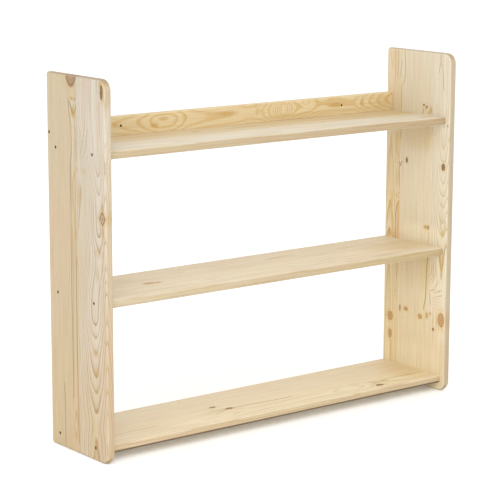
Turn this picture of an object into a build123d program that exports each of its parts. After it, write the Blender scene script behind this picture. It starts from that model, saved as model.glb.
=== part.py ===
from build123d import *
import math
import os

# A bookcase of untreated glued pine board: two sides, three fixed shelves and
# a rail along the back, all held together by screws driven in through the sides.
#
# Millimetres. The origin is on the floor, under the middle of the footprint.
# +X is to the right as seen from the front, +Y runs back to the wall, +Z is up.

# ---- the carcase ----
OVERALL_WIDTH = 1000
OVERALL_DEPTH = 225
OVERALL_HEIGHT = 825
BOARD = 18                  # thickness of every board
SHELF_SETBACK = 15          # the sides stand this far in front of the shelves
BOTTOM_SHELF_TOP = 38       # height of each shelf's upper face
SHELF_PITCH = 318           # from one shelf's upper face to the next
RAIL_HEIGHT = 43            # the rail stands on the top shelf, flush at the back

# ---- how the edges are worked ----
FRONT_CORNER_RADIUS = 25    # the sides' front corners, top and bottom
BACK_CORNER_RADIUS = 6
SIDE_EDGE_RADIUS = 5        # right round each side's outline, on both faces
SHELF_FRONT_RADIUS = 6
SHELF_BACK_RADIUS = 1
RAIL_EDGE_RADIUS = 2

# ---- countersunk wood screws, 3.5 x 50 ----
SCREW_LENGTH = 50
SCREW_SUNK = 1              # how far a head lies below the side's outer face
SCREW_INSET = 34            # from a shelf's front and back edges to its screws
HEAD_RADIUS = 3.5
HEAD_RIM = 0.4              # the short straight rim above the 90 degree cone
SHANK_RADIUS = 1.3
SHANK_LENGTH = 20           # smooth length, head included
THREAD_CORE_RADIUS = 1.1
THREAD_CREST_RADIUS = 1.75
THREAD_PITCH = 1.8
TIP_LENGTH = 4
TIP_RADIUS = 0.15
RECESS_SPAN_RADIUS = 2.2    # the cross recess, at the head's top
RECESS_FLOOR_RADIUS = 0.8
RECESS_SLOT = 0.9
RECESS_DEPTH = 2

# ---- holes ----
HEAD_HOLE_RADIUS = 3.6
CLEARANCE_RADIUS = 2
PILOT_RADIUS = 1.8
PILOT_BEYOND_TIP = 2
WALL_HOLE_RADIUS = 2.5
WALL_HOLE_SPACING = 640

# ---- places worked out from the sizes above ----
SIDE_OUTER = OVERALL_WIDTH / 2
SIDE_INNER = SIDE_OUTER - BOARD
SHELF_LENGTH = 2 * SIDE_INNER
SHELF_DEPTH = OVERALL_DEPTH - SHELF_SETBACK
FRONT = -OVERALL_DEPTH / 2
BACK = OVERALL_DEPTH / 2
SHELF_FRONT = FRONT + SHELF_SETBACK
SHELF_TOPS = {
    "bottom": BOTTOM_SHELF_TOP,
    "middle": BOTTOM_SHELF_TOP + SHELF_PITCH,
    "top": BOTTOM_SHELF_TOP + 2 * SHELF_PITCH,
}
RAIL_MIDDLE_Y = BACK - BOARD / 2
RAIL_MIDDLE_Z = SHELF_TOPS["top"] + RAIL_HEIGHT / 2


def shelf_screw_places(level):
    """The (y, z) of the two screws at each end of one shelf."""
    middle_z = SHELF_TOPS[level] - BOARD / 2
    return [(SHELF_FRONT + SCREW_INSET, middle_z), (BACK - SCREW_INSET, middle_z)]


# The screws that hold the near end of each board, as seen from one side.
JOINTS = {f"{level}_shelf": shelf_screw_places(level) for level in SHELF_TOPS}
JOINTS["back_rail"] = [(RAIL_MIDDLE_Y, RAIL_MIDDLE_Z)]


def facing_in(hand, y, z):
    """A placement on a side's outer face whose -Z points into the bookcase. hand is -1 left, +1 right."""
    return Pos(hand * SIDE_OUTER, y, z) * Rot(0, hand * 90, 0)


def long_edges_at(board, across, place):
    """A board's edges parallel to X that lie at one place along another axis."""
    return board.edges().filter_by(Axis.X).filter_by_position(across, place - 1, place + 1)


def screw_hole():
    """The hole through a side: a straight mouth, a 90 degree countersink and a clearance hole."""
    mouth = Pos(0, 0, -SCREW_SUNK - HEAD_RIM) * Cylinder(
        HEAD_HOLE_RADIUS, 2 * (SCREW_SUNK + HEAD_RIM), align=(Align.CENTER, Align.CENTER, Align.MIN)
    )
    cone_depth = HEAD_RADIUS - CLEARANCE_RADIUS
    cone = Pos(0, 0, -SCREW_SUNK - HEAD_RIM) * Cone(
        CLEARANCE_RADIUS, HEAD_RADIUS, cone_depth, align=(Align.CENTER, Align.CENTER, Align.MAX)
    )
    clearance = Cylinder(CLEARANCE_RADIUS, 3 * BOARD)
    return mouth + cone + clearance


def pilot_hole():
    """The hole in a board's end, measured from the side's outer face so that the screw's tip stays clear."""
    bottom = SCREW_SUNK + SCREW_LENGTH + PILOT_BEYOND_TIP
    return Cylinder(PILOT_RADIUS, bottom, align=(Align.CENTER, Align.CENTER, Align.MAX))


def screw_outline():
    """Half of a screw's lengthwise section, as (radius, height), with the head's top at height 0."""
    points = [
        (0, 0),
        (HEAD_RADIUS, 0),
        (HEAD_RADIUS, -HEAD_RIM),
        (SHANK_RADIUS, -HEAD_RIM - (HEAD_RADIUS - SHANK_RADIUS)),
        (SHANK_RADIUS, -SHANK_LENGTH),
    ]
    threaded = SCREW_LENGTH - SHANK_LENGTH - TIP_LENGTH
    for turn in range(math.floor(threaded / THREAD_PITCH)):
        start = -SHANK_LENGTH - turn * THREAD_PITCH
        points.append((THREAD_CORE_RADIUS, start - 0.1 * THREAD_PITCH))
        points.append((THREAD_CREST_RADIUS, start - 0.45 * THREAD_PITCH))
        points.append((THREAD_CREST_RADIUS, start - 0.55 * THREAD_PITCH))
        points.append((THREAD_CORE_RADIUS, start - 0.9 * THREAD_PITCH))
    points.append((THREAD_CORE_RADIUS, TIP_LENGTH - SCREW_LENGTH))
    points.append((TIP_RADIUS, -SCREW_LENGTH))
    points.append((0, -SCREW_LENGTH))
    return points


def wood_screw():
    """A countersunk screw with a cross recess, pointing down -Z. Its thread is a row of rings."""
    outline = Polyline(*[(radius, 0, height) for radius, height in screw_outline()], close=True)
    body = revolve(make_face(outline), Axis.Z)
    slots = Box(2 * RECESS_SPAN_RADIUS, RECESS_SLOT, 2 * RECESS_DEPTH)
    slots += Box(RECESS_SLOT, 2 * RECESS_SPAN_RADIUS, 2 * RECESS_DEPTH)
    taper = Cone(
        RECESS_FLOOR_RADIUS, RECESS_SPAN_RADIUS, RECESS_DEPTH, align=(Align.CENTER, Align.CENTER, Align.MAX)
    )
    return body - (slots & taper)


def side(hand):
    """One side: big front corners, then every edge of both faces rounded over, then the screw holes."""
    board = Pos(hand * (SIDE_OUTER - BOARD / 2), 0, OVERALL_HEIGHT / 2) * Box(BOARD, OVERALL_DEPTH, OVERALL_HEIGHT)
    board = fillet(long_edges_at(board, Axis.Y, FRONT), FRONT_CORNER_RADIUS)
    board = fillet(long_edges_at(board, Axis.Y, BACK), BACK_CORNER_RADIUS)
    faces = board.faces().filter_by(Axis.X)
    board = fillet(faces.edges(), SIDE_EDGE_RADIUS)
    for places in JOINTS.values():
        for y, z in places:
            board -= facing_in(hand, y, z) * screw_hole()
    return board


def with_pilot_holes(board, places):
    """A board between the sides, drilled for its screws at both ends."""
    for hand in (-1, 1):
        for y, z in places:
            board -= facing_in(hand, y, z) * pilot_hole()
    return board


def shelf(level):
    """One shelf, its front edges well rounded and its back flush with the sides' backs."""
    middle_y = (SHELF_FRONT + BACK) / 2
    board = Pos(0, middle_y, SHELF_TOPS[level] - BOARD / 2) * Box(SHELF_LENGTH, SHELF_DEPTH, BOARD)
    board = fillet(long_edges_at(board, Axis.Y, SHELF_FRONT), SHELF_FRONT_RADIUS)
    board = fillet(long_edges_at(board, Axis.Y, BACK), SHELF_BACK_RADIUS)
    return with_pilot_holes(board, JOINTS[f"{level}_shelf"])


def back_rail():
    """The rail that stands on the top shelf, with two holes for wall screws."""
    rail = Pos(0, RAIL_MIDDLE_Y, RAIL_MIDDLE_Z) * Box(SHELF_LENGTH, BOARD, RAIL_HEIGHT)
    rail_top = SHELF_TOPS["top"] + RAIL_HEIGHT
    rail = fillet(long_edges_at(rail, Axis.Z, rail_top), RAIL_EDGE_RADIUS)
    for hand in (-1, 1):
        hole = Rot(90, 0, 0) * Cylinder(WALL_HOLE_RADIUS, 2 * BOARD)
        rail -= Pos(hand * WALL_HOLE_SPACING / 2, RAIL_MIDDLE_Y, RAIL_MIDDLE_Z) * hole
    return with_pilot_holes(rail, JOINTS["back_rail"])


def screws(hand, places):
    """The screws of one joint, each turned a little differently, as a driver leaves them."""
    driven = []
    for number, (y, z) in enumerate(places):
        turned = Rot(0, 0, 25 + 50 * number + 15 * hand)
        driven.append(facing_in(hand, y, z) * Pos(0, 0, -SCREW_SUNK) * turned * wood_screw())
    return driven


def all_nodes():
    """Every node's name and the solids that it holds."""
    nodes = {
        "side_left": [side(-1)],
        "side_right": [side(1)],
        "back_rail": [back_rail()],
    }
    for level in SHELF_TOPS:
        nodes[f"{level}_shelf"] = [shelf(level)]
    for joint, places in JOINTS.items():
        nodes[f"{joint}_screws_left"] = screws(-1, places)
        nodes[f"{joint}_screws_right"] = screws(1, places)
    return nodes


os.makedirs("parts", exist_ok=True)
for name, pieces in all_nodes().items():
    solids = [solid for piece in pieces for solid in piece.solids()]
    export_step(Compound(solids) if len(solids) > 1 else solids[0], f"parts/{name}.step")
    print(name, len(solids), "solid(s)")
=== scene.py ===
import math

import bpy
from mathutils import Euler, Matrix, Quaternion, Vector


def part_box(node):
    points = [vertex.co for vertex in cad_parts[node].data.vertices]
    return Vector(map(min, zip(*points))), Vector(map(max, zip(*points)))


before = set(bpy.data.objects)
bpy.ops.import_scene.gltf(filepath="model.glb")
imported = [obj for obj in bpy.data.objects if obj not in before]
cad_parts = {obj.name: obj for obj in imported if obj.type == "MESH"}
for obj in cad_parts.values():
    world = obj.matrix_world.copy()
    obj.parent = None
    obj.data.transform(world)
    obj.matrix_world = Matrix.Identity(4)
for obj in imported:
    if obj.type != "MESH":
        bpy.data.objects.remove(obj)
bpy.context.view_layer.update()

# The look of a bookcase of raw, edge-glued pine. Every board keeps its CAD mesh, and
# gets a wood of its own: growth rings that run through the whole thickness, glued
# staves, knots that the rings bend round, fibre, and end grain on the sawn ends.

MM = 1000                       # millimetres in a metre; all wood is laid out in millimetres

# ---- the photograph's viewing angle ----
CAMERA_PLACE = (-2.649, -3.3585, 1.237)
CAMERA_TURN = 37.93             # degrees to the right of straight at the wall
CAMERA_DOWN = 11.16             # degrees
CAMERA_ROLL = 0.18              # degrees
CAMERA_LENS = 136.6             # mm, on a 36 mm sensor
CAMERA_FAR_CLIP = 200           # metres, past the floor's far corner

# ---- studio ----
WORLD_STRENGTH = 1.05
FLOOR_SIZE = 60.0
FLOOR_COLOUR = (0.95, 0.95, 0.95)
FLOOR_ROUGHNESS = 0.9
FLOOR_GLOW = 0.1                # a little light of the floor's own keeps the shadows faint
SOFTBOX_SIZE = 3.0
SOFTBOX_AIM = (0, 0, 0.4)       # the middle of the bookcase
SOFTBOXES = {                   # where each one hangs, and its power in watts
    "left_softbox": ((-3.8, -2.4, 1.6), 50),
    "high_softbox": ((-1.2, -2.8, 3.4), 55),
}

# ---- colours, on the usual 0 to 255 screen scale ----
# Colours of the stains and streaks, and of the painted light on a side's inner face.
STAIN_AND_LIGHT_COLOURS = {
    "gold": (204, 164, 88),
    "orange": (214, 166, 92),
    "brown": (168, 136, 80),
    "dark": (130, 100, 60),
    # pale is only painted light: brighter patches on a side's inner face
    "pale": (255, 238, 206),
}
KNOT_HALO = (216, 178, 118)
FIBRE_DARK = (192, 162, 120)
FIBRE_PALE = (243, 232, 214)
HONEY = (218, 186, 138)
PINKISH = (230, 192, 160)
YELLOWISH = (222, 204, 150)
RESIN_DUCT = (160, 124, 82)
END_GRAIN = (178, 152, 114)
# painted shade inside the back rail's holes
HOLE_SHADE = (36, 20, 8)
# pale rounded edges: sanded wood, and partly a painted highlight
SANDING_AND_HIGHLIGHT = (240, 226, 204)
# painted shade: the dark line along a shelf's lower edges, standing in for the shadow under it
UNDERSIDE_SHADE = (104, 78, 50)

# How much of each colour channel, as it looks in warm bounced light, is the wood's own.
ALBEDO = (0.83, 0.85, 0.86)

# ---- noise that is stretched along the grain ----
# Each one's width and length in mm, a shift that keeps it apart from the others, and its detail.
NOISES = {
    "fibre": (3.2, 120, 0, 4),      # fine streaks
    "cloud": (14, 260, 3, 2),       # slow changes of tone
    "blush": (38, 330, 5, 2),       # slow changes between pinkish and yellowish
    "warp": (34, 300, 7, 1.5),      # the waviness of the growth rings
    "dash": (0.7, 12, 11, 0),       # resin ducts, the short dark dashes that pine has
    "lump": (5, 5, 13, 2),          # unevenness of a knot's outline
}
# What each noise does to the colour: the two values between which the colour comes in,
# the colour, and its largest share.
TONES = [
    ("cloud", (0.45, 0.8), HONEY, 0.28),
    ("blush", (0.5, 0.75), PINKISH, 0.3),
    ("blush", (0.5, 0.25), YELLOWISH, 0.24),
    ("fibre", (0.48, 0.75), FIBRE_DARK, 0.3),
    ("fibre", (0.5, 0.28), FIBRE_PALE, 0.2),
    ("dash", (0.7, 0.82), RESIN_DUCT, 0.35),
]

# ---- growth rings ----
WARP_REACH = 3.5                # mm that the rings wave to either side
FIBRE_WAVE = 0.16               # rings that the fibre moves a ring's edge by
CLOUD_WAVE = 0.4                # and the slow changes of tone
# One year runs from 0 to 1. Its wood deepens slowly, a dark line follows, and it ends sharply.
DEEPENING = (0.2, 0.95)
DEEPENING_SHARE = 0.35
LINE_RISE = 0.2
LINE_SHARE = 0.65
YEAR_END = (1.0, 0.94)
WEAKEST_YEAR = 0.5              # years differ in darkness, from this to 1
LATE_LOST_ON_EDGES = 0.4        # rings are fainter on a board's narrow edges, by this share

# ---- soft edges: the two distances, in shares of an oval's size, between which it comes in ----
STAIN_AND_LIGHT_EDGE = (1.2, 0.3)
FAINT_EDGE = (1.2, 0.5)
HILL_EDGE = (1, 0)
STREAK_EDGE = (1.25, 0.35)
STREAK_FADE = 8                 # mm in which a streak's ends fade
STREAK_FADE_SHARE = 0.3         # the most of its length that one end may take to fade
# How strongly a stain, or a patch of painted light, shows is this times the latewood, plus that. So for a
# streak, by the fibre.
STAIN_AND_LIGHT_BY_LATEWOOD = (0.35, 0.55)
STREAK_BY_FIBRE = (0.4, 0.75)

# ---- knots, in shares of a knot's size unless the comment says otherwise ----
# Each pair holds the two distances between which that part of a knot comes in.
KNOT_LEAN = 0.08                # how far a knot wanders sideways as it goes through the board
KNOT_SWAY = 2                   # mm that its sides are uneven by
KNOT_LUMPS = 0.3                # unevenness of its outline
KNOT_PUSH = (2.6, 0.5)          # it pushes the rings aside from here to here
KNOT_RISE = 0.6                 # by this many rings
HALO_REACH = (2.3, 0.9)
HALO_SHARE = 0.5
KNOT_EDGE = (1.12, 0.9)
HEART_SHARE = 0.9
KNOT_RINGS = 13                 # radians of ring from its middle to its outline
KNOT_FIRST_RING = 0.6           # radians
KNOT_RING_SHARE = 0.35
RIM_START = (0.66, 0.9)
PITH_REACH = (0.3, 0.1)
NO_KNOT = 9                     # a distance at which nothing of a knot shows

# Each kind of knot: its wood, its rim and rings, how dark the rim is, and how far its
# outline is from a diamond (1) to an oval (2).
KNOTS = {
    "dark": {"heart": (152, 114, 68), "rim": (88, 58, 30), "rim_share": 0.75, "roundness": 1.8},
    "brown": {"heart": (184, 148, 108), "rim": (138, 106, 70), "rim_share": 0.65, "roundness": 2},
    "rust": {"heart": (194, 150, 96), "rim": (158, 112, 64), "rim_share": 0.5, "roundness": 2},
    "diamond": {"heart": (208, 182, 138), "rim": (132, 98, 58), "rim_share": 1.0, "roundness": 1.2},
    "amber": {"heart": (206, 168, 112), "rim": (180, 138, 82), "rim_share": 0.4, "roundness": 2},
}

# ---- edges, ends and holes ----
# Which way the surface faces is told by the cosine of its normal to one of the board's axes.
# Each pair holds the two values between which an effect comes in.
NARROW_EDGE_FACING = (0.4, 0.9)
EDGE_TINT_FACING = (0.3, 0.9)
END_FACING = (0.3, 0.85)
ROUNDED_FACING = (0.99, 0.75)   # rounded where it faces none of the axes squarely
SANDING_AND_HIGHLIGHT_SHARE = 0.3
END_GRAIN_SHARE = 0.7
INNER_SIDE = (14, 4)            # mm deep, from where the painted light on the inner face ends to where it is full
HOLE_SHADE_RADIUS = 2.7            # mm
HOLE_SHADE_EDGE = (1.0, 0.94)
HOLE_SHADE_SHARE = 0.95
# The painted shade line along a shelf's lower front and back edges:
UNDERSIDE_SHADE_DEPTH = (11.9, 12.9)     # mm below a shelf's top
UNDERSIDE_SHADE_FACING = (0, 0.2)
UNDERSIDE_SHADE_SHARE = 0.85

# ---- finish of the wood ----
ROUGHNESS = 0.6
LATE_SMOOTHER = 0.12
FIBRE_ROUGHNESS = 0.18
END_ROUGHER = 0.1
SPECULAR = 0.3
RELIEF_STRENGTH = 0.35
RELIEF_HEIGHT = 0.0004          # metres
FIBRE_RELIEF = 0.6
LATE_RELIEF = 0.5

# ---- finish of the screws ----
# Very dark: partly painted shade for the sunk screw holes.
ZINC_DARK = (0.10, 0.082, 0.062)
ZINC_PALE = (0.19, 0.16, 0.125)
ZINC_BLOTCH = (0.35, 0.7)       # noise values between which the pale colour comes in
ZINC_ROUGHNESS = (0.3, 0.35)    # this times the noise, plus that
ZINC_DETAIL = 4

# Blender's Mix node has one set of sockets for numbers and another for colours.
MIX_SHARE = 0
MIX_NUMBERS = (2, 3)
MIX_NUMBER_OUT = 0
MIX_COLOURS = (6, 7)
MIX_COLOUR_OUT = 2


# ==== what each board is made of ====
# Everything is in millimetres. Across is measured from the board's front edge, or up from
# the rail's lower edge. Along is measured up a side, or from a shelf's left end.
#
# tint, edge_tint  colour multipliers at the start and at the end of the board, on its
#                  faces and on its narrow edges. They bring the board to the tone that
#                  it has in the photograph, whose light isn't even.
# line_start       where in a year the dark line begins. A higher one makes thinner lines.
# staves           the strips that the board is glued from. A stave ends at "until". Its
#                  pith lies behind "centre", which is a number or (along, across) points.
#                  "spacing" is the width of one ring, "early" and "late" are its colours.
#                  "rings" has (along, rings between the pith and the face). Each whole
#                  number that they cross is the tip of one arch.
# knots            (kind, across, along, half width, half length), right through the board
# hills            bend the rings without a knot: (across, along, half width, half length, rings)
# gold, brown      stains of that colour, right through the board: (across, along, half
#                  width, half length, strength)
# inner            painted light on the inner face only, each after the name of its colour: gold is warm bounce light, pale is brighter light
# faint            patches where the rings are fainter, given like stains
# streaks          (colour, half width, strength, the (along, across) points it runs through)
# drilled          (across, along) of a hole whose wall gets painted shade
# shaded_below     whether the front and the back get a painted shade line along their lower edge

BOARDS = {
    # Two staves: quiet at the back, arches at the front.
    "side_left": {
        "tint": ((0.825, 0.778, 0.71), (0.805, 0.826, 0.862)),
        "edge_tint": ((0.762, 0.66, 0.52), (0.775, 0.765, 0.75)),
        "line_start": 0.7,
        "staves": [
            {
                "until": 107, "spacing": 4.0, "early": (229, 215, 195), "late": (170, 138, 96),
                "centre": [(0, 45), (300, 45), (400, 34), (460, 26), (620, 27), (720, 38), (825, 40)],
                "rings": [
                    (0, 15.6), (50, 16), (78, 16.4), (105, 16), (150, 15), (183, 14), (235, 13),
                    (270, 12), (298, 11), (325, 10.4), (425, 10.2), (455, 10), (490, 9), (512, 8.5),
                    (560, 8.3), (580, 8), (618, 7), (650, 6.4), (825, 6.15),
                ],
                "knots": [("dark", 11, 798, 5, 15), ("diamond", 12, 534, 10, 15)],
                "hills": [(106, 556, 46, 62, 2.6), (112, 742, 46, 96, -3.2)],
            },
            {
                "until": 225, "spacing": 3.4, "early": (225, 205, 172), "late": (182, 150, 100),
                "centre": 123,
                "rings": [
                    (0, 4.2), (50, 5), (105, 6), (200, 6.4), (370, 6.6), (600, 6.5), (700, 6.3),
                    (742, 6), (772, 5), (786, 4), (825, 3.2),
                ],
                "knots": [("brown", 127, 832, 20, 31)],
            },
        ],
        "gold": [
            (118, 746, 9, 14, 1.5), (117, 487, 6, 22, 1.1), (100, 573, 11, 34, 0.7),
            (120, 776, 14, 6, 0.5), (126, 45, 12, 16, 0.5), (43, 238, 16, 11, 0.8),
            (42, 196, 13, 14, 0.6), (43, 155, 10, 7, 0.5), (33, 412, 8, 18, 0.6), (80, 626, 12, 9, 0.6),
            (108, 627, 8, 6, 0.5), (6, 818, 14, 9, 1.0), (2, 790, 8, 30, 0.6), (10, 500, 9, 26, 0.5),
            (27, 458, 22, 12, 0.5), (40, 36, 40, 60, 0.4), (60, 120, 80, 110, 0.3),
            (8, 300, 10, 200, 0.4),
        ],
        "brown": [(25, 768, 5, 15, 0.3), (12, 560, 2.5, 14, 0.8), (11, 508, 4, 16, 0.5)],
        "faint": [(30, 720, 50, 90, 0.6), (30, 600, 34, 50, 0.4)],
        "streaks": [
            # the long dark line, and the two that go on below it
            ("dark", 1.5, 0.75, [
                (120, 133), (395, 134), (502, 133.5), (608, 133.5), (643, 132), (672, 128), (700, 128),
                (725, 130), (750, 136), (775, 139),
            ]),
            ("brown", 2, 0.7, [(20, 112), (200, 117), (330, 116), (440, 112)]),
            ("brown", 2, 0.7, [(5, 168), (90, 168), (150, 170)]),
            # round the patch that lies behind the diamond knot
            ("gold", 2.2, 0.9, [(500, 118), (531, 120), (584, 125), (608, 121), (626, 110)]),
            ("brown", 1.6, 0.6, [(500, 105), (545, 98), (595, 92)]),
            # the V under the half knot, and the smaller one above it
            ("brown", 2.2, 0.9, [(742, 117), (750, 112), (764, 108)]),
            ("brown", 2.4, 0.9, [(742, 119), (757, 128), (774, 136)]),
            ("brown", 3.5, 0.8, [(772, 117), (775, 112), (779, 108)]),
            ("brown", 3.5, 0.8, [(772, 119), (775, 125), (780, 131)]),
            # beside and behind the arches of the front stave
            ("gold", 2, 0.6, [(640, 109), (680, 111), (722, 111)]),
            ("brown", 1.6, 0.45, [(655, 104), (666, 92), (702, 80), (740, 74)]),
            ("brown", 1.6, 0.45, [(648, 104), (655, 86), (685, 71), (720, 64)]),
            # round the corner knot and the diamond knot
            ("orange", 6, 0.8, [(806, 17), (815, 14), (824, 12)]),
            ("orange", 3, 0.8, [(492, 9), (520, 11)]),
            ("brown", 2, 0.9, [(545, 12), (566, 12)]),
            ("orange", 2.5, 0.5, [(700, 17), (750, 19), (780, 16)]),
        ],
    },
    # Three staves: arches at the front, plain and straight in the middle, golden at the back.
    "side_right": {
        "tint": ((1.135, 1.17, 1.17), (0.97, 1.022, 1.11)),
        "edge_tint": ((0.675, 0.65, 0.603), (0.675, 0.65, 0.603)),
        "line_start": 0.72,
        "staves": [
            {
                "until": 60, "spacing": 3.6, "early": (229, 213, 186), "late": (184, 150, 100),
                "centre": 19,
                "rings": [
                    (0, 13.3), (130, 13.2), (200, 13.15), (280, 13.1), (305, 12.9), (345, 12.6),
                    (380, 12), (412, 11), (450, 10), (478, 9), (508, 8), (545, 7), (590, 6), (640, 5),
                    (700, 4.3), (825, 4.1),
                ],
                "knots": [
                    ("dark", 19, 553, 6, 8.5), ("dark", 42, 149, 3.2, 4.5), ("rust", 15, 177, 10.5, 17),
                    ("amber", 54, 186, 3, 4), ("dark", 7, 653, 1.8, 2.5),
                ],
            },
            {
                "until": 170, "spacing": 4.4, "early": (227, 209, 178), "late": (205, 178, 134),
                "centre": -60,
                "rings": [(0, 10), (400, 10.4), (825, 10)],
                "knots": [
                    ("dark", 148, 555, 4, 6.5), ("dark", 80, 692, 2.5, 3), ("dark", 91, 696, 3, 2.5),
                    ("amber", 66, 685, 3, 7), ("amber", 73, 677, 1.6, 6), ("amber", 93, 681, 1.8, 7),
                    ("amber", 85, 690, 1.6, 6), ("dark", 67, 399, 2.6, 5), ("amber", 76, 399, 6, 4),
                    ("amber", 65, 180, 5, 7), ("rust", 90, 173, 7, 6), ("rust", 141, 183, 7, 5),
                    ("brown", 163, 182, 3, 8),
                ],
            },
            {
                "until": 225, "spacing": 3.3, "early": (226, 203, 161), "late": (186, 144, 86),
                "centre": 206,
                "rings": [
                    (0, 9), (110, 9.3), (200, 9.6), (340, 10.2), (381, 11), (452, 12), (520, 12.4),
                    (650, 13), (750, 12.2), (825, 11.6),
                ],
                "knots": [("rust", 198, 155, 9, 11), ("rust", 198, 110, 6, 11)],
                "hills": [(158, 388, 34, 76, 4.5), (164, 780, 22, 60, 2.5)],
            },
        ],
        "gold": [
            (34, 812, 4, 22, 1.1), (194, 790, 6, 60, 0.8), (178, 461, 7, 5, 0.9),
            (178, 512, 7, 24, 0.6), (208, 366, 7, 13, 1.2), (16, 391, 7, 12, 1.0),
            (17, 320, 7, 40, 0.9), (80, 620, 9, 60, 0.5), (80, 340, 30, 40, 0.3), (194, 70, 5, 34, 0.9),
            (10, 70, 11, 90, 0.6), (66, 290, 8, 60, 0.5), (208, 500, 14, 130, 0.35),
            (185, 600, 20, 60, 0.3), (40, 60, 40, 90, 0.3),
        ],
        "brown": [
            (174, 545, 4, 6, 0.9), (169, 540, 2, 4, 0.8), (175, 470, 5, 2.5, 0.9),
            (184, 466, 5, 2, 0.6), (183, 222, 2, 7, 0.8), (36, 227, 22, 1.6, 0.55),
            (35, 219, 22, 1.6, 0.55), (33, 212, 19, 1.6, 0.5), (32, 203, 20, 1.6, 0.5),
            (77, 193, 3, 3, 0.8), (195, 110, 4, 4.5, 1.2),
        ],
        # painted light: warm bounce light below the shelves (gold), brighter light just above them (pale)
        "inner": [
            ("gold", 110, 622, 100, 45, 0.5), ("gold", 110, 300, 100, 64, 0.4),
            ("gold", 110, 110, 110, 170, 0.3), ("pale", 100, 385, 110, 26, 0.5),
            ("pale", 100, 70, 110, 40, 0.3),
        ],
        "faint": [
            (25, 235, 40, 60, 0.8), (20, 60, 36, 110, 0.7), (20, 620, 40, 60, 0.4),
            (20, 750, 40, 90, 0.3), (206, 740, 40, 160, 0.6), (206, 560, 40, 110, 0.4),
        ],
        "streaks": [
            # by the gold stain at the top front
            ("brown", 1.6, 0.7, [(735, 23), (745, 24), (770, 26), (800, 31)]),
            ("brown", 1.6, 0.6, [(775, 41), (785, 39), (803, 36)]),
            # the back stave, from the top down to the top shelf
            ("brown", 2, 0.8, [(755, 187), (790, 185), (824, 186)]),
            ("orange", 2, 0.7, [(755, 194), (824, 196)]),
            ("brown", 2, 0.6, [(738, 167), (748, 162), (770, 159), (800, 160), (824, 163)]),
            ("brown", 1.8, 0.55, [(750, 180), (775, 175), (800, 172)]),
            # and down to the crack beside the small dark knot
            ("brown", 1.6, 0.5, [(676, 171), (740, 171)]),
            ("brown", 2, 0.6, [(606, 171), (630, 171)]),
            ("orange", 3, 0.7, [(557, 175), (565, 180), (590, 186), (620, 184)]),
            ("dark", 1.6, 1.0, [(534, 175), (540, 171), (552, 164)]),
            ("brown", 1.6, 0.6, [(480, 172), (535, 174)]),
            ("brown", 1.6, 0.5, [(485, 184), (530, 186)]),
            # its golden strands above the middle shelf
            ("orange", 4.6, 1.0, [(342, 174), (395, 176), (428, 176), (453, 171)]),
            ("brown", 2.3, 1.0, [(342, 184), (395, 185), (425, 183), (452, 174)]),
            ("orange", 3.5, 0.8, [(342, 190), (395, 197), (430, 199), (475, 199)]),
            ("brown", 1.5, 0.5, [(395, 218), (410, 214), (440, 205)]),
            ("brown", 1.8, 0.6, [(357, 202), (372, 206), (380, 208)]),
            ("brown", 1.8, 0.6, [(357, 214), (372, 210), (380, 208)]),
            # the V that closes the front arches, above and below the middle shelf
            ("brown", 1.6, 0.7, [(383, 16), (395, 12), (410, 9), (425, 8)]),
            ("brown", 1.6, 0.7, [(383, 16), (398, 21), (412, 24), (425, 26)]),
            ("brown", 1.7, 0.7, [(276, 18), (300, 15), (345, 10)]),
            ("brown", 1.7, 0.7, [(276, 18), (300, 20), (345, 24)]),
            # the long dark line below the middle shelf
            ("brown", 2, 1.0, [(192, 78), (212, 74), (228, 71), (275, 70), (330, 66)]),
            ("gold", 2, 0.7, [(240, 78), (320, 77)]),
            # the fan above the large front knot
            ("brown", 2.2, 0.5, [(250, 47), (257, 37), (275, 25)]),
            ("brown", 2, 0.5, [(262, 52), (270, 45), (283, 40), (310, 37)]),
            ("brown", 2, 0.5, [(266, 60), (270, 54), (287, 46), (320, 43)]),
            ("brown", 2, 0.45, [(278, 61), (287, 53), (310, 49)]),
            ("brown", 6, 0.5, [(242, 58), (246, 47), (251, 35)]),
            ("brown", 5, 0.6, [(240, 44), (246, 26), (252, 17)]),
            ("brown", 6, 0.5, [(231, 40), (234, 25), (240, 13)]),
            ("brown", 2, 0.6, [(205, 53), (222, 55), (242, 57)]),
            # single lines: beside the long one, below the lower knot, and on the back stave
            ("brown", 1.4, 0.5, [(350, 65), (395, 66)]),
            ("orange", 2.5, 0.6, [(45, 194), (98, 195)]),
            ("brown", 2.5, 0.5, [(255, 178), (300, 175)]),
        ],
    },
    # Two staves: pale at the front, more golden at the back.
    "top_shelf": {
        "tint": ((0.95, 0.954, 0.95), (0.95, 0.954, 0.94)),
        "edge_tint": ((0.69, 0.625, 0.515), (0.6, 0.503, 0.37)),
        "line_start": 0.6,
        "staves": [
            {
                "until": 100, "spacing": 5.0, "early": (235, 222, 200), "late": (212, 188, 152),
                "centre": 40,
                "rings": [(0, 9.2), (120, 10.1), (330, 9.3), (480, 9.9), (700, 10.6), (964, 9.6)],
            },
            {
                "until": 210, "spacing": 4.6, "early": (229, 207, 172), "late": (196, 162, 108),
                "centre": 300,
                "rings": [(0, 14), (330, 14.3), (500, 14.9), (964, 14.2)],
                "knots": [("brown", 143, 330, 2.5, 9)],
                "hills": [(140, 330, 26, 60, 2)],
            },
        ],
        "gold": [
            (146, 200, 12, 150, 0.6), (146, 700, 16, 380, 0.7), (192, 200, 16, 160, 0.6),
            (190, 740, 22, 420, 0.8), (120, 860, 40, 190, 0.6),
        ],
        "brown": [(144, 470, 10, 60, 0.4), (190, 640, 6, 120, 0.4)],
    },
    # Two quiet staves.
    "middle_shelf": {
        "tint": ((1.05, 1.085, 1.14), (1.03, 1.045, 1.055)),
        "edge_tint": ((0.755, 0.73, 0.71), (0.64, 0.567, 0.425)),
        "line_start": 0.65,
        "staves": [
            {
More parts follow.
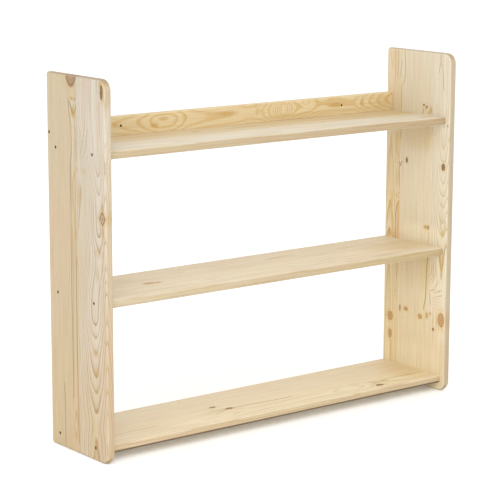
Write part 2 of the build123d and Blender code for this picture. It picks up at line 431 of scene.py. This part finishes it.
                "until": 105, "spacing": 5.0, "early": (237, 220, 190), "late": (220, 191, 148),
                "centre": 50,
                "rings": [(0, 8.1), (200, 9.2), (420, 8.4), (690, 9.5), (964, 8.2)],
                "knots": [("brown", 92, 189, 4, 8), ("amber", 97, 168, 8, 13)],
            },
            {
                "until": 210, "spacing": 5.0, "early": (233, 214, 184), "late": (212, 182, 140),
                "centre": 150,
                "rings": [(0, 7.4), (180, 6.3), (420, 7.6), (640, 6.5), (964, 7.2)],
            },
        ],
        "gold": [
            (90, 910, 70, 150, 0.45), (150, 590, 12, 40, 0.5), (150, 130, 26, 30, 0.3),
            (150, 780, 8, 40, 0.4),
        ],
        "brown": [(22, 800, 10, 60, 0.4), (14, 700, 8, 50, 0.3), (148, 560, 5, 30, 0.5)],
    },
    # Two quiet staves, three dark knots and a painted shade line along the lower edge.
    "bottom_shelf": {
        "shaded_below": True,
        "tint": ((1.12, 1.165, 1.25), (1.105, 1.13, 1.145)),
        "edge_tint": ((0.8, 0.745, 0.7), (0.745, 0.715, 0.645)),
        "line_start": 0.65,
        "staves": [
            {
                "until": 100, "spacing": 4.5, "early": (233, 214, 179), "late": (206, 174, 124),
                "centre": 42,
                "rings": [
                    (0, 8), (150, 8.6), (290, 8.1), (380, 8.9), (560, 9.4), (700, 8.2), (740, 7.6),
                    (820, 7.9), (880, 8.8), (964, 9.4),
                ],
                "knots": [("dark", 80, 378, 6, 10), ("dark", 25, 790, 7, 11)],
                "hills": [(40, 800, 50, 110, 2.2)],
            },
            {
                "until": 210, "spacing": 4.0, "early": (229, 209, 176), "late": (212, 184, 142),
                "centre": 300,
                "rings": [(0, 16), (500, 16.8), (964, 16)],
                "knots": [("dark", 110, 352, 4.5, 8)],
            },
        ],
        "gold": [
            (56, 905, 12, 40, 0.9), (42, 305, 8, 40, 0.5), (100, 930, 110, 60, 0.5),
            (60, 740, 9, 20, 0.5), (45, 440, 8, 60, 0.3),
        ],
        "brown": [(80, 330, 3, 36, 0.7), (25, 790, 4, 44, 0.5), (110, 352, 2.5, 26, 0.6)],
        "streaks": [
            # from the large knot along the board
            ("brown", 2.6, 0.9, [(385, 79), (440, 77), (500, 74), (560, 73)]),
            # rays round the large knot
            ("brown", 2.5, 0.6, [(325, 60), (350, 68), (374, 79)]),
            ("brown", 2.5, 0.5, [(335, 74), (374, 80)]),
            ("brown", 2.5, 0.5, [(320, 92), (372, 84)]),
            ("brown", 2.5, 0.45, [(384, 74), (410, 62)]),
            # arches near the ends
            ("brown", 2.5, 0.5, [(30, 66), (110, 64), (170, 66)]),
            ("brown", 2.5, 0.5, [(780, 60), (830, 58), (880, 60)]),
        ],
    },
    # One stave with bold, golden arches.
    "back_rail": {
        "tint": ((0.955, 0.965, 0.915), (0.985, 1.015, 0.98)),
        "edge_tint": ((0.92, 0.91, 0.86), (0.92, 0.91, 0.86)),
        "line_start": 0.58,
        "staves": [
            {
                "until": 43, "spacing": 3.0, "early": (236, 212, 170), "late": (213, 166, 88),
                "centre": [(0, 24), (600, 25), (690, 30), (770, 32), (850, 26), (964, 26)],
                "rings": [
                    (0, 24), (70, 23.7), (137, 23), (200, 22), (237, 21), (277, 20.2), (320, 21),
                    (347, 22), (400, 22.6), (490, 23), (520, 23.4), (552, 23), (575, 22), (590, 21),
                    (597, 20), (603, 19), (610, 18), (616, 17), (623, 16.1), (630, 17), (636, 18),
                    (643, 19), (650, 20), (672, 20.9), (700, 21), (740, 21.9), (780, 21.7), (830, 21.9),
                    (860, 21), (887, 20), (913, 19), (940, 18), (964, 17.2),
                ],
                "hills": [(36, 690, 12, 18, 1.6)],
            },
        ],
        "gold": [
            (28, 277, 5.5, 17, 1.2), (27, 457, 7, 38, 1.1), (15, 252, 7, 14, 1.1),
            (26, 545, 10, 9, 0.9), (24, 782, 8, 26, 1.0), (24, 868, 12, 8, 0.8), (23, 143, 7, 12, 0.8),
            (28, 334, 8, 8, 0.5), (8, 700, 6, 260, 0.5), (20, 930, 16, 40, 0.5),
        ],
        "faint": [(21, 860, 60, 150, 0.35), (21, 560, 60, 150, 0.15), (21, 260, 60, 150, 0.15)],
        "drilled": [(21.5, 162), (21.5, 802)],
    },
}

# The axes that run across, along and into each board, and whether it is measured into
# the board from the low side.
LAYOUT = {
    "side_left": ("yzx", True),
    "side_right": ("yzx", True),
    "top_shelf": ("yxz", False),
    "middle_shelf": ("yxz", False),
    "bottom_shelf": ("yxz", False),
    "back_rail": ("zxy", True),
}
SEED_STEP = 31                  # keeps the boards' noise apart


# ==== arithmetic on shader nodes ====

class Field:
    """A number that varies over a surface. Arithmetic on it adds shader nodes."""

    def __init__(self, tree, socket):
        self.tree = tree
        self.socket = socket

    def math(self, operation, *others):
        """The result of one of Blender's math operations on this number and up to two others."""
        node = self.tree.nodes.new("ShaderNodeMath")
        node.operation = operation
        for slot, value in zip(node.inputs, (self,) + others):
            connect(self.tree, value, slot)
        return Field(self.tree, node.outputs[0])

    def __add__(self, other):
        return self.math("ADD", other)

    def __sub__(self, other):
        return self.math("SUBTRACT", other)

    def __rsub__(self, other):
        return (self * -1) + other

    def __mul__(self, other):
        return self.math("MULTIPLY", other)

    def scaled(self, factor, offset):
        """This number times a factor, plus an offset."""
        return self.math("MULTIPLY_ADD", factor, offset)

    def smooth(self, low, high):
        """0 below low, 1 above high and a soft step between. Turned round where low is above high."""
        if low > high:
            return 1 - self.smooth(high, low)
        node = self.tree.nodes.new("ShaderNodeMapRange")
        node.interpolation_type = "SMOOTHSTEP"
        connect(self.tree, self, node.inputs["Value"])
        node.inputs["From Min"].default_value = low
        node.inputs["From Max"].default_value = high
        return Field(self.tree, node.outputs["Result"])


def connect(tree, value, slot):
    """Feeds a socket from a field, or sets it to a plain number."""
    if isinstance(value, Field):
        tree.links.new(value.socket, slot)
    else:
        slot.default_value = value


def select(position, edges, fields):
    """The field of the stave that a position lies in. edges are where each stave but the last ends."""
    chosen = fields[0]
    for edge, field in zip(edges, fields[1:]):
        beyond = position.math("GREATER_THAN", edge)
        node = position.tree.nodes.new("ShaderNodeMix")
        connect(position.tree, beyond, node.inputs[MIX_SHARE])
        for slot, value in zip(MIX_NUMBERS, (chosen, field)):
            connect(position.tree, value, node.inputs[slot])
        chosen = Field(position.tree, node.outputs[MIX_NUMBER_OUT])
    return chosen


def nearest(fields):
    """The smallest of several fields."""
    closest = fields[0]
    for field in fields[1:]:
        closest = closest.math("MINIMUM", field)
    return closest


def separate(tree, vector):
    """A vector's three parts."""
    node = tree.nodes.new("ShaderNodeSeparateXYZ")
    tree.links.new(vector, node.inputs[0])
    return node.outputs


def combine(tree, *parts):
    """A vector made of three fields."""
    node = tree.nodes.new("ShaderNodeCombineXYZ")
    for slot, part in zip(node.inputs, parts):
        connect(tree, part, slot)
    return node.outputs[0]


def noise(tree, place, detail):
    """Smooth noise between 0 and 1, with features about one unit across."""
    node = tree.nodes.new("ShaderNodeTexNoise")
    node.inputs["Scale"].default_value = 1.0
    node.inputs["Detail"].default_value = detail
    tree.links.new(place, node.inputs["Vector"])
    return Field(tree, node.outputs["Fac"])


def along_curve(position, length, points):
    """A smooth curve through (millimetres along, value) points."""
    lowest = min(value for _, value in points)
    span = max(value for _, value in points) - lowest or 1
    shares = [(at / length, (value - lowest) / span) for at, value in points]
    node = position.tree.nodes.new("ShaderNodeFloatCurve")
    curve = node.mapping.curves[0]
    for share in shares[1:-1]:
        curve.points.new(*share)
    curve.points[0].location = shares[0]
    curve.points[-1].location = shares[-1]
    for point in curve.points:
        point.handle_type = "AUTO_CLAMPED"
    node.mapping.update()
    connect(position.tree, position * (1 / length), node.inputs["Value"])
    return Field(position.tree, node.outputs[0]).scaled(span, lowest)


def blend_colours(tree, base, colour, share):
    """base, turned to colour by a share of 0 to 1."""
    node = tree.nodes.new("ShaderNodeMix")
    node.data_type = "RGBA"
    connect(tree, share, node.inputs[MIX_SHARE])
    for slot, value in zip(MIX_COLOURS, (base, colour)):
        if isinstance(value, tuple):
            node.inputs[slot].default_value = (*value, 1)
        else:
            tree.links.new(value, node.inputs[slot])
    return node.outputs[MIX_COLOUR_OUT]


def screen_to_linear(share):
    """One channel of a screen colour, 0 to 1, as an amount of light."""
    if share <= 0.04045:
        return share / 12.92
    return ((share + 0.055) / 1.055) ** 2.4


def linear(colour):
    """A colour given on the usual 0 to 255 screen scale, as a surface's own linear colour."""
    return tuple(own * screen_to_linear(value / 255) for own, value in zip(ALBEDO, colour))


# ==== pine ====

class Board:
    """The shader fields of one board: where a point is in it, and which way the surface faces there."""

    def __init__(self, tree, node_name, seed):
        self.tree = tree
        self.seed = seed
        self.recipe = BOARDS[node_name]
        self.staves = self.recipe["staves"]
        self.glue_lines = [stave["until"] for stave in self.staves[:-1]]
        low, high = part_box(node_name)
        axes, from_low = LAYOUT[node_name]
        across, along, into = ["xyz".index(letter) for letter in axes]
        source = tree.nodes.new("ShaderNodeTexCoord")
        place = separate(tree, source.outputs["Object"])
        facing = separate(tree, source.outputs["Normal"])
        self.across = Field(tree, place[across]).scaled(MM, -low[across] * MM)
        self.along = Field(tree, place[along]).scaled(MM, -low[along] * MM)
        if from_low:
            self.deep = Field(tree, place[into]).scaled(MM, -low[into] * MM)
        else:
            self.deep = Field(tree, place[into]).scaled(-MM, high[into] * MM)
        self.edge_on = Field(tree, facing[across]).math("ABSOLUTE")
        self.end_on = Field(tree, facing[along]).math("ABSOLUTE")
        self.face_on = Field(tree, facing[into]).math("ABSOLUTE")
        self.length = (high - low)[along] * MM
        self.noise = {name: self.stretched_noise(*look) for name, look in NOISES.items()}
        self.waved = self.across + (self.noise["warp"] - 0.5) * (2 * WARP_REACH)

    def stretched_noise(self, width, length, shift, detail):
        """Noise whose features have the given width across the grain and length along it."""
        place = combine(
            self.tree,
            self.across.scaled(1 / width, self.seed + shift),
            self.along * (1 / length),
            self.deep * (1 / width),
        )
        return noise(self.tree, place, detail)

    def uneven(self, name, reach):
        """A noise centred on 0, that goes up to half the reach to either side."""
        return (self.noise[name] - 0.5) * reach


def oval_distance(across, along, oval, roundness=2):
    """0 at an oval's middle and 1 on its outline, given as (across, along, half width, half length, ...).

    A roundness of 1 makes a diamond of it.
    """
    sideways = across.scaled(1 / oval[2], -oval[0] / oval[2])
    lengthways = along.scaled(1 / oval[3], -oval[1] / oval[3])
    if roundness == 2:
        return (sideways * sideways + lengthways * lengthways).math("SQRT")
    sideways = sideways.math("ABSOLUTE").math("POWER", roundness)
    lengthways = lengthways.math("ABSOLUTE").math("POWER", roundness)
    return (sideways + lengthways).math("POWER", 1 / roundness)


def knot_distances(board, stave):
    """For each kind of knot in a stave, how far its nearest one is."""
    across = board.across + board.deep * KNOT_LEAN + board.uneven("lump", KNOT_SWAY)
    found = {}
    for kind, *oval in stave.get("knots", []):
        distance = oval_distance(across, board.along, oval, KNOTS[kind]["roundness"])
        found.setdefault(kind, []).append(distance)
    return {kind: nearest(fields) for kind, fields in found.items()}


def stave_rings(board, stave, knots):
    """The count of growth rings out from a stave's pith, whole and fraction."""
    height = along_curve(board.along, board.length, stave["rings"]) * stave["spacing"] - board.deep
    centre = stave["centre"]
    if isinstance(centre, list):
        centre = along_curve(board.along, board.length, centre)
    sideways = board.waved - centre
    rings = (sideways * sideways + height * height).math("SQRT") * (1 / stave["spacing"])
    if knots:
        rings = rings + nearest(list(knots.values())).smooth(*KNOT_PUSH) * KNOT_RISE
    for *oval, risen in stave.get("hills", []):
        rings = rings + oval_distance(board.waved, board.along, oval).smooth(*HILL_EDGE) * risen
    return rings


def year_darkness(rings, line_start, seed):
    """How dark the wood is at each point of the years' rings, 0 to 1."""
    turn = rings.math("FRACT")
    ending = turn.smooth(*YEAR_END)
    deepening = turn.smooth(*DEEPENING) * DEEPENING_SHARE
    line = turn.smooth(line_start, line_start + LINE_RISE) * LINE_SHARE
    year = rings.tree.nodes.new("ShaderNodeTexWhiteNoise")
    year.noise_dimensions = "1D"
    connect(rings.tree, rings.math("FLOOR") + seed, year.inputs["W"])
    strength = Field(rings.tree, year.outputs["Value"]).scaled(1 - WEAKEST_YEAR, WEAKEST_YEAR)
    return (deepening + line) * ending * strength


def latewood(board, knots):
    """How much of the wood at each point of a board is dark latewood, 0 to 1."""
    rings = select(board.across, board.glue_lines, [
        stave_rings(board, stave, stave_knots) for stave, stave_knots in zip(board.staves, knots)
    ])
    rings = rings + board.uneven("fibre", FIBRE_WAVE) + board.uneven("cloud", CLOUD_WAVE)
    late = year_darkness(rings, board.recipe["line_start"], board.seed)
    late = late * board.edge_on.smooth(*NARROW_EDGE_FACING).scaled(-LATE_LOST_ON_EDGES, 1)
    for *oval, lost in board.recipe.get("faint", []):
        late = late * oval_distance(board.across, board.along, oval).smooth(*FAINT_EDGE).scaled(-lost, 1)
    return late


def stave_colours(board, which):
    """The early or late colour of each stave, changing at once at the glue lines."""
    ramp = board.tree.nodes.new("ShaderNodeValToRGB")
    ramp.color_ramp.interpolation = "CONSTANT"
    width = board.staves[-1]["until"]
    elements = ramp.color_ramp.elements
    elements.remove(elements[1])
    elements[0].position = 0
    elements[0].color = (*linear(board.staves[0][which]), 1)
    for glue_line, stave in zip(board.glue_lines, board.staves[1:]):
        elements.new(glue_line / width).color = (*linear(stave[which]), 1)
    connect(board.tree, board.across * (1 / width), ramp.inputs[0])
    return ramp.outputs[0]


def paint(board, colour, screen_colour, share):
    """A colour, turned by a share of 0 to 1 to one that is given on the screen scale."""
    return blend_colours(board.tree, colour, linear(screen_colour), share)


def paint_resin_or_light(board, colour, name, reach, late, strength):
    """A resin-rich stain, or a patch of painted light, either one deeper in the latewood."""
    return paint(board, colour, STAIN_AND_LIGHT_COLOURS[name], reach * late.scaled(*STAIN_AND_LIGHT_BY_LATEWOOD) * strength)


def paint_resin_stains_and_light(board, colour, late):
    """The stains that go right through the board, and then the painted light on its inner face only."""
    for name in STAIN_AND_LIGHT_COLOURS:
        for *oval, strength in board.recipe.get(name, []):
            reach = oval_distance(board.waved, board.along, oval).smooth(*STAIN_AND_LIGHT_EDGE)
            colour = paint_resin_or_light(board, colour, name, reach, late, strength)
    # painted light on the inner face: warm bounce light and brighter patches
    for name, *oval, strength in board.recipe.get("inner", []):
        reach = oval_distance(board.across, board.along, oval).smooth(*STAIN_AND_LIGHT_EDGE)
        colour = paint_resin_or_light(board, colour, name, reach * board.deep.smooth(*INNER_SIDE), late, strength)
    return colour


def streak_share(board, half_width, strength, points):
    """How much of a streak's colour shows, from none beside it to its strength along its middle."""
    first = points[0][0]
    last = points[-1][0]
    middle = along_curve(board.along, board.length, points)
    beside = ((board.across - middle) * (1 / half_width)).math("ABSOLUTE").smooth(*STREAK_EDGE)
    fade = min(STREAK_FADE, STREAK_FADE_SHARE * (last - first))
    start = board.along.smooth(first - fade / 2, first + fade)
    end = board.along.smooth(last + fade / 2, last - fade)
    return beside * (start * end) * strength


def paint_streaks(board, colour):
    """Dark or golden strands, broken up by the fibre."""
    for name, *streak in board.recipe.get("streaks", []):
        share = streak_share(board, *streak) * board.noise["fibre"].scaled(*STREAK_BY_FIBRE)
        colour = paint(board, colour, STAIN_AND_LIGHT_COLOURS[name], share)
    return colour


def paint_knot(board, colour, kind, reach):
    """Halo, heart, rings, rim and pith of every knot of one kind. reach is 1 on its outline."""
    look = KNOTS[kind]
    inside = reach.smooth(*KNOT_EDGE)
    ring = reach.scaled(KNOT_RINGS, KNOT_FIRST_RING).math("SINE").smooth(0, 1) * inside
    rim = reach.smooth(*RIM_START) * inside
    colour = paint(board, colour, KNOT_HALO, reach.smooth(*HALO_REACH) * HALO_SHARE)
    colour = paint(board, colour, look["heart"], inside * HEART_SHARE)
    colour = paint(board, colour, look["rim"], ring * KNOT_RING_SHARE)
    colour = paint(board, colour, look["rim"], rim * look["rim_share"])
    return paint(board, colour, look["rim"], reach.smooth(*PITH_REACH) * look["rim_share"])


def paint_knots(board, colour, knots):
    """Every knot of a board, one kind after another. Each stays within its stave."""
    for kind in KNOTS:
        if any(kind in stave_knots for stave_knots in knots):
            far = board.deep * 0 + NO_KNOT
            distances = [stave_knots.get(kind, far) for stave_knots in knots]
            reach = select(board.across, board.glue_lines, distances)
            colour = paint_knot(board, colour, kind, reach + board.uneven("lump", KNOT_LUMPS))
    return colour


def paint_workings_and_light(board, colour, ends):
    """Pale rounded edges: sanding and a painted highlight. Dark sawn ends, and painted shade in drilled
    holes and along lower edges.
    """
    flatness = board.end_on.math("MAXIMUM", board.edge_on).math("MAXIMUM", board.face_on)
    # rounded edges paler: sanding, and partly a painted highlight
    colour = paint(board, colour, SANDING_AND_HIGHLIGHT, flatness.smooth(*ROUNDED_FACING) * SANDING_AND_HIGHLIGHT_SHARE)
    colour = paint(board, colour, END_GRAIN, ends * END_GRAIN_SHARE)
    # painted shade: the walls of the drilled holes darkened
    for across, along in board.recipe.get("drilled", []):
        reach = oval_distance(board.across, board.along, (across, along, HOLE_SHADE_RADIUS, HOLE_SHADE_RADIUS))
        colour = paint(board, colour, HOLE_SHADE, reach.smooth(*HOLE_SHADE_EDGE) * HOLE_SHADE_SHARE)
    # painted shade: a dark line along a shelf's lower front and back edges, standing in for the shadow
    # beneath it
    if board.recipe.get("shaded_below"):
        painted_shade = board.deep.smooth(*UNDERSIDE_SHADE_DEPTH) * board.edge_on.smooth(*UNDERSIDE_SHADE_FACING) * UNDERSIDE_SHADE_SHARE
        colour = paint(board, colour, UNDERSIDE_SHADE, painted_shade)
    return colour


# The tint is partly painted light and shade: lighter or darker along a board, and darker on its narrow
# edges.
def tinted(board, colour):
    """The colour multiplied by the board's tint, which changes along it and differs on its narrow edges."""
    share_along = board.along * (1 / board.length)
    on_face = blend_colours(board.tree, *board.recipe["tint"], share_along)
    on_edge = blend_colours(board.tree, *board.recipe["edge_tint"], share_along)
    tint = blend_colours(board.tree, on_face, on_edge, board.edge_on.smooth(*EDGE_TINT_FACING))
    node = board.tree.nodes.new("ShaderNodeVectorMath")
    node.operation = "MULTIPLY"
    board.tree.links.new(colour, node.inputs[0])
    board.tree.links.new(tint, node.inputs[1])
    return node.outputs[0]


def finish_wood(board, shader, late, ends):
    """Roughness and a fine relief, which both follow the fibre and the rings."""
    fibre = board.noise["fibre"]
    rough = late.scaled(-LATE_SMOOTHER, ROUGHNESS) + board.uneven("fibre", FIBRE_ROUGHNESS)
    connect(board.tree, rough + ends * END_ROUGHER, shader.inputs["Roughness"])
    shader.inputs["Specular IOR Level"].default_value = SPECULAR
    relief = board.tree.nodes.new("ShaderNodeBump")
    relief.inputs["Strength"].default_value = RELIEF_STRENGTH
    relief.inputs["Distance"].default_value = RELIEF_HEIGHT
    connect(board.tree, fibre * FIBRE_RELIEF + late * LATE_RELIEF, relief.inputs["Height"])
    board.tree.links.new(relief.outputs[0], shader.inputs["Normal"])


def new_material(name):
    """A material with its node tree and its one shader."""
    material = bpy.data.materials.new(name)
    material.use_nodes = True
    return material, material.node_tree, material.node_tree.nodes["Principled BSDF"]


def pine(node_name, seed):
    """The wood of one board."""
    material, tree, shader = new_material(f"pine_{node_name}")
    board = Board(tree, node_name, seed)
    knots = [knot_distances(board, stave) for stave in board.staves]
    late = latewood(board, knots)
    ends = board.end_on.smooth(*END_FACING)
    colour = blend_colours(tree, stave_colours(board, "early"), stave_colours(board, "late"), late)
    colour = paint_resin_stains_and_light(board, colour, late)
    colour = paint_streaks(board, colour)
    for name, comes_in, tone, share in TONES:
        colour = paint(board, colour, tone, board.noise[name].smooth(*comes_in) * share)
    colour = paint_knots(board, colour, knots)
    colour = paint_workings_and_light(board, colour, ends)
    tree.links.new(tinted(board, colour), shader.inputs["Base Color"])
    finish_wood(board, shader, late, ends)
    return material


# ==== screws ====

def dark_zinc():
    """Plated steel, very dark brownish grey and blotched: partly painted shade, standing in for the shade
    in the sunk screw holes.
    """
    material, tree, shader = new_material("dark_zinc")
    source = tree.nodes.new("ShaderNodeTexCoord")
    scale = tree.nodes.new("ShaderNodeVectorMath")
    scale.operation = "SCALE"
    scale.inputs["Scale"].default_value = MM
    tree.links.new(source.outputs["Object"], scale.inputs[0])
    blotch = noise(tree, scale.outputs[0], ZINC_DETAIL)
    colour = blend_colours(tree, ZINC_DARK, ZINC_PALE, blotch.smooth(*ZINC_BLOTCH))
    tree.links.new(colour, shader.inputs["Base Color"])
    shader.inputs["Metallic"].default_value = 1.0
    connect(tree, blotch.scaled(*ZINC_ROUGHNESS), shader.inputs["Roughness"])
    return material


# ==== studio ====

def add_floor():
    """A wide, pale, matt floor."""
    bpy.ops.mesh.primitive_plane_add(size=FLOOR_SIZE)
    floor = bpy.context.object
    floor.name = "floor"
    material, _, shader = new_material("pale_floor")
    shader.inputs["Base Color"].default_value = (*FLOOR_COLOUR, 1)
    shader.inputs["Roughness"].default_value = FLOOR_ROUGHNESS
    shader.inputs["Specular IOR Level"].default_value = 0.0
    shader.inputs["Emission Color"].default_value = (1, 1, 1, 1)
    shader.inputs["Emission Strength"].default_value = FLOOR_GLOW
    floor.data.materials.append(material)


def add_softbox(name, place, power):
    """A square soft light, turned towards the bookcase."""
    light = bpy.data.lights.new(name, "AREA")
    light.size = SOFTBOX_SIZE
    light.energy = power
    lamp = bpy.data.objects.new(name, light)
    lamp.location = place
    lamp.rotation_mode = "QUATERNION"
    lamp.rotation_quaternion = (Vector(SOFTBOX_AIM) - Vector(place)).to_track_quat("-Z", "Y")
    bpy.context.scene.collection.objects.link(lamp)


def add_world():
    """An even white surround."""
    world = bpy.data.worlds.new("studio")
    bpy.context.scene.world = world
    world.use_nodes = True
    background = world.node_tree.nodes["Background"]
    background.inputs["Color"].default_value = (1, 1, 1, 1)
    background.inputs["Strength"].default_value = WORLD_STRENGTH


def add_camera():
    """The camera at the photograph's viewing angle, with no lens shift."""
    data = bpy.data.cameras.new("camera")
    data.lens = CAMERA_LENS
    data.clip_end = CAMERA_FAR_CLIP
    camera = bpy.data.objects.new("camera", data)
    camera.location = CAMERA_PLACE
    upright = Euler((math.radians(90 - CAMERA_DOWN), 0, math.radians(-CAMERA_TURN)))
    roll = Quaternion((0, 0, 1), math.radians(CAMERA_ROLL))
    camera.rotation_mode = "QUATERNION"
    camera.rotation_quaternion = upright.to_quaternion() @ roll
    bpy.context.scene.collection.objects.link(camera)
    bpy.context.scene.camera = camera


def dress(node_name, material):
    """Puts a material on a CAD node."""
    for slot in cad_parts[node_name].material_slots:
        slot.material = material


for number, node_name in enumerate(BOARDS):
    dress(node_name, pine(node_name, SEED_STEP * number))
zinc = dark_zinc()
for node_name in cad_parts:
    if "screws" in node_name:
        dress(node_name, zinc)

add_floor()
add_world()
for name, (place, power) in SOFTBOXES.items():
    add_softbox(name, place, power)
add_camera()
bpy.context.scene.view_settings.view_transform = "Standard"
